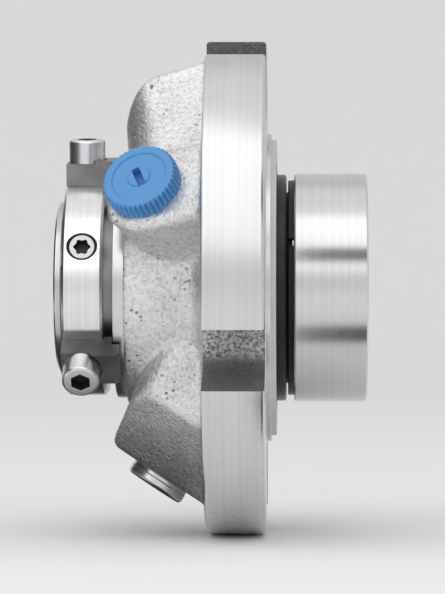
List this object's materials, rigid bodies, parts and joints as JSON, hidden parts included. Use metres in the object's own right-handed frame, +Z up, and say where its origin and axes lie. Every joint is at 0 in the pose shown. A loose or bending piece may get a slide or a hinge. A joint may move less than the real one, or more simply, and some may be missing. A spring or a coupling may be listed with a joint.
{
  "type": "cartridge mechanical seal",
  "caption": "Cartridge shaft seal: flanged cast gland with open bolt slots and angled ports, sleeve with rotor cup, drive collar and setting clips.",
  "frame": {"origin": "on the shaft axis, in the plane of the gasket's outer face, where the gland meets the seal chamber", "axes": "+X along the shaft into the pump, +Z up, the flush port towards -Y and +Z"},
  "size_m": [0.075, 0.12, 0.12],
  "materials": {
    "cast_steel": "as cast, pebbled, with turned faces",
    "turned_steel": "fine turned, bright",
    "seal_carbon": "lapped, dark",
    "black_rubber": "matte",
    "gasket_sheet": "matte, pale grey",
    "bush_bronze": "turned",
    "spring_steel": "drawn wire",
    "clip_steel": "dull grey",
    "screw_steel": "bright",
    "blue_plastic": "moulded, satin"
  },
  "bodies": {
    "gland_unit": {"gland": "cast_steel", "gland_gasket": "gasket_sheet", "seat_ring": "seal_carbon", "seat_o_ring": "black_rubber", "seat_pin": "screw_steel", "throttle_bush": "bush_bronze", "bush_snap_ring": "spring_steel", "drain_plug": "screw_steel", "drain_washer": "turned_steel", "vent_plug": "screw_steel"},
    "rotor": {"sleeve": "turned_steel", "shaft_o_ring": "black_rubber", "springs": "spring_steel", "drive_pins": "screw_steel", "drive_collar": "turned_steel", "collar_set_screws": "screw_steel", "sleeve_snap_ring": "spring_steel"},
    "seal_face": {"rotary_face": "seal_carbon", "face_o_ring": "black_rubber", "pusher_ring": "turned_steel"},
    "clip_1": {"setting_clip_1": "clip_steel", "clip_screw_1": "screw_steel"},
    "clip_2": {"setting_clip_2": "clip_steel", "clip_screw_2": "screw_steel"},
    "clip_3": {"setting_clip_3": "clip_steel", "clip_screw_3": "screw_steel"},
    "transport_plug": {"flush_plug": "blue_plastic"}
  },
  "joints": [
    {"name": "rotor_spin", "type": "hinge", "parent": "gland_unit", "child": "rotor", "pos_m": [0, 0, 0], "axis": [1, 0, 0], "continuous": true},
    {"name": "face_slide", "type": "slide", "parent": "rotor", "child": "seal_face", "axis": [1, 0, 0], "range_m": [0, 0.0012], "stiffness_N_per_m": 2000, "springref_m": -0.005, "deforming": ["springs"]},
    {"name": "clip_1_lift", "type": "slide", "parent": "rotor", "child": "clip_1", "axis": [0, -0.1392, 0.9903], "range_m": [0, 0.015]},
    {"name": "clip_2_lift", "type": "slide", "parent": "rotor", "child": "clip_2", "axis": [0, -0.788, -0.6157], "range_m": [0, 0.015]},
    {"name": "clip_3_lift", "type": "slide", "parent": "rotor", "child": "clip_3", "axis": [0, 0.9272, -0.3746], "range_m": [0, 0.015]},
    {"name": "plug_pull", "type": "slide", "parent": "gland_unit", "child": "transport_plug", "axis": [-0.3007, -0.7755, 0.5552], "range_m": [0, 0.014]}
  ]
}
